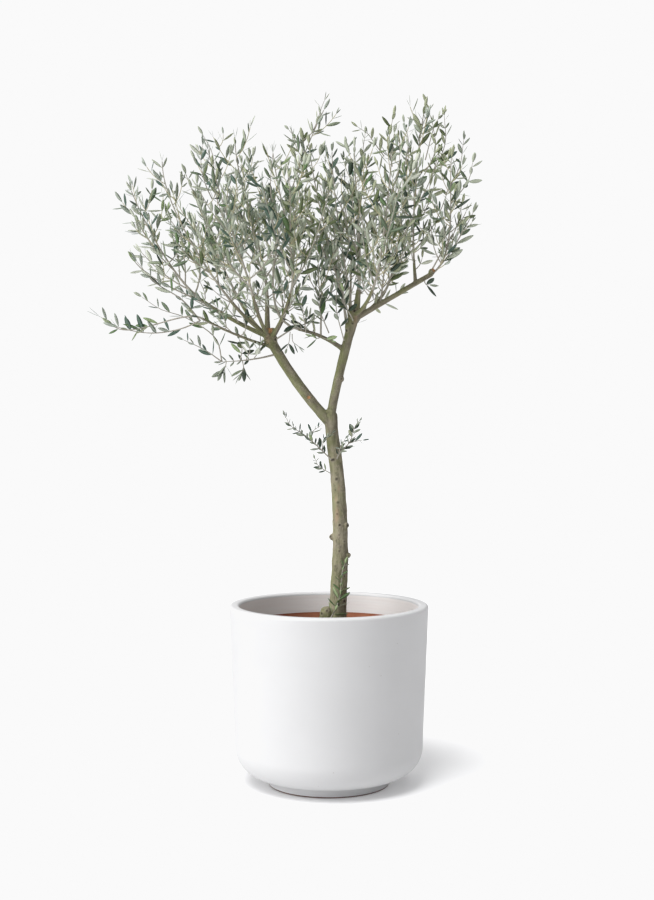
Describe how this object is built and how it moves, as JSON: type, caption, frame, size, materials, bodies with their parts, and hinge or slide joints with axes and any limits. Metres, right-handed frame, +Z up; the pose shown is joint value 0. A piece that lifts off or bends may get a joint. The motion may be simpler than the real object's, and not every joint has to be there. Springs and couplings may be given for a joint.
{
  "type": "potted olive tree",
  "caption": "Young olive tree with a forked trunk and a wide, flat-topped airy crown, standing in a straight-sided white ceramic pot on a low foot.",
  "frame": {"origin": "centre of the pot's flat underside, on the surface that it stands on", "axes": "+Z up the trunk; +X along the fork, towards the bough that carries the long side limb; +Y towards the back of the crown"},
  "size_m": [0.7426, 0.5445, 1.3901],
  "materials": {
    "pot": "matte",
    "soil": "matte",
    "bark": "matte",
    "leaf": "satin"
  },
  "bodies": {
    "root": {"pot": "pot", "soil": "soil", "trunk": "bark", "left_bough": "bark", "right_bough": "bark", "left_under_bough": "bark", "left_outer_bough": "bark", "left_upper_bough": "bark", "left_back_bough": "bark", "left_front_bough": "bark", "left_leader_bough": "bark", "middle_front_bough": "bark", "middle_back_bough": "bark", "crossing_bough": "bark", "rising_bough": "bark", "right_leader_bough": "bark", "right_front_bough": "bark", "right_back_bough": "bark", "right_limb": "bark", "right_upper_bough": "bark", "foliage_left_low": "leaf", "foliage_left_side": "leaf", "foliage_left_outer": "leaf", "foliage_left_upper": "leaf", "foliage_left_back": "leaf", "foliage_left_front": "leaf", "foliage_left_top": "leaf", "foliage_middle_front": "leaf", "foliage_middle_back": "leaf", "foliage_middle_top": "leaf", "foliage_inner_right": "leaf", "foliage_right_top": "leaf", "foliage_right_front": "leaf", "foliage_right_back": "leaf", "foliage_right_upper": "leaf", "foliage_right_outer": "leaf", "sprout_between": "leaf", "sprout_under_left": "leaf", "sprout_limb_end": "leaf", "sprout_trunk_left": "leaf", "sprout_trunk_right": "leaf", "sprout_foot": "leaf"}
  },
  "joints": []
}
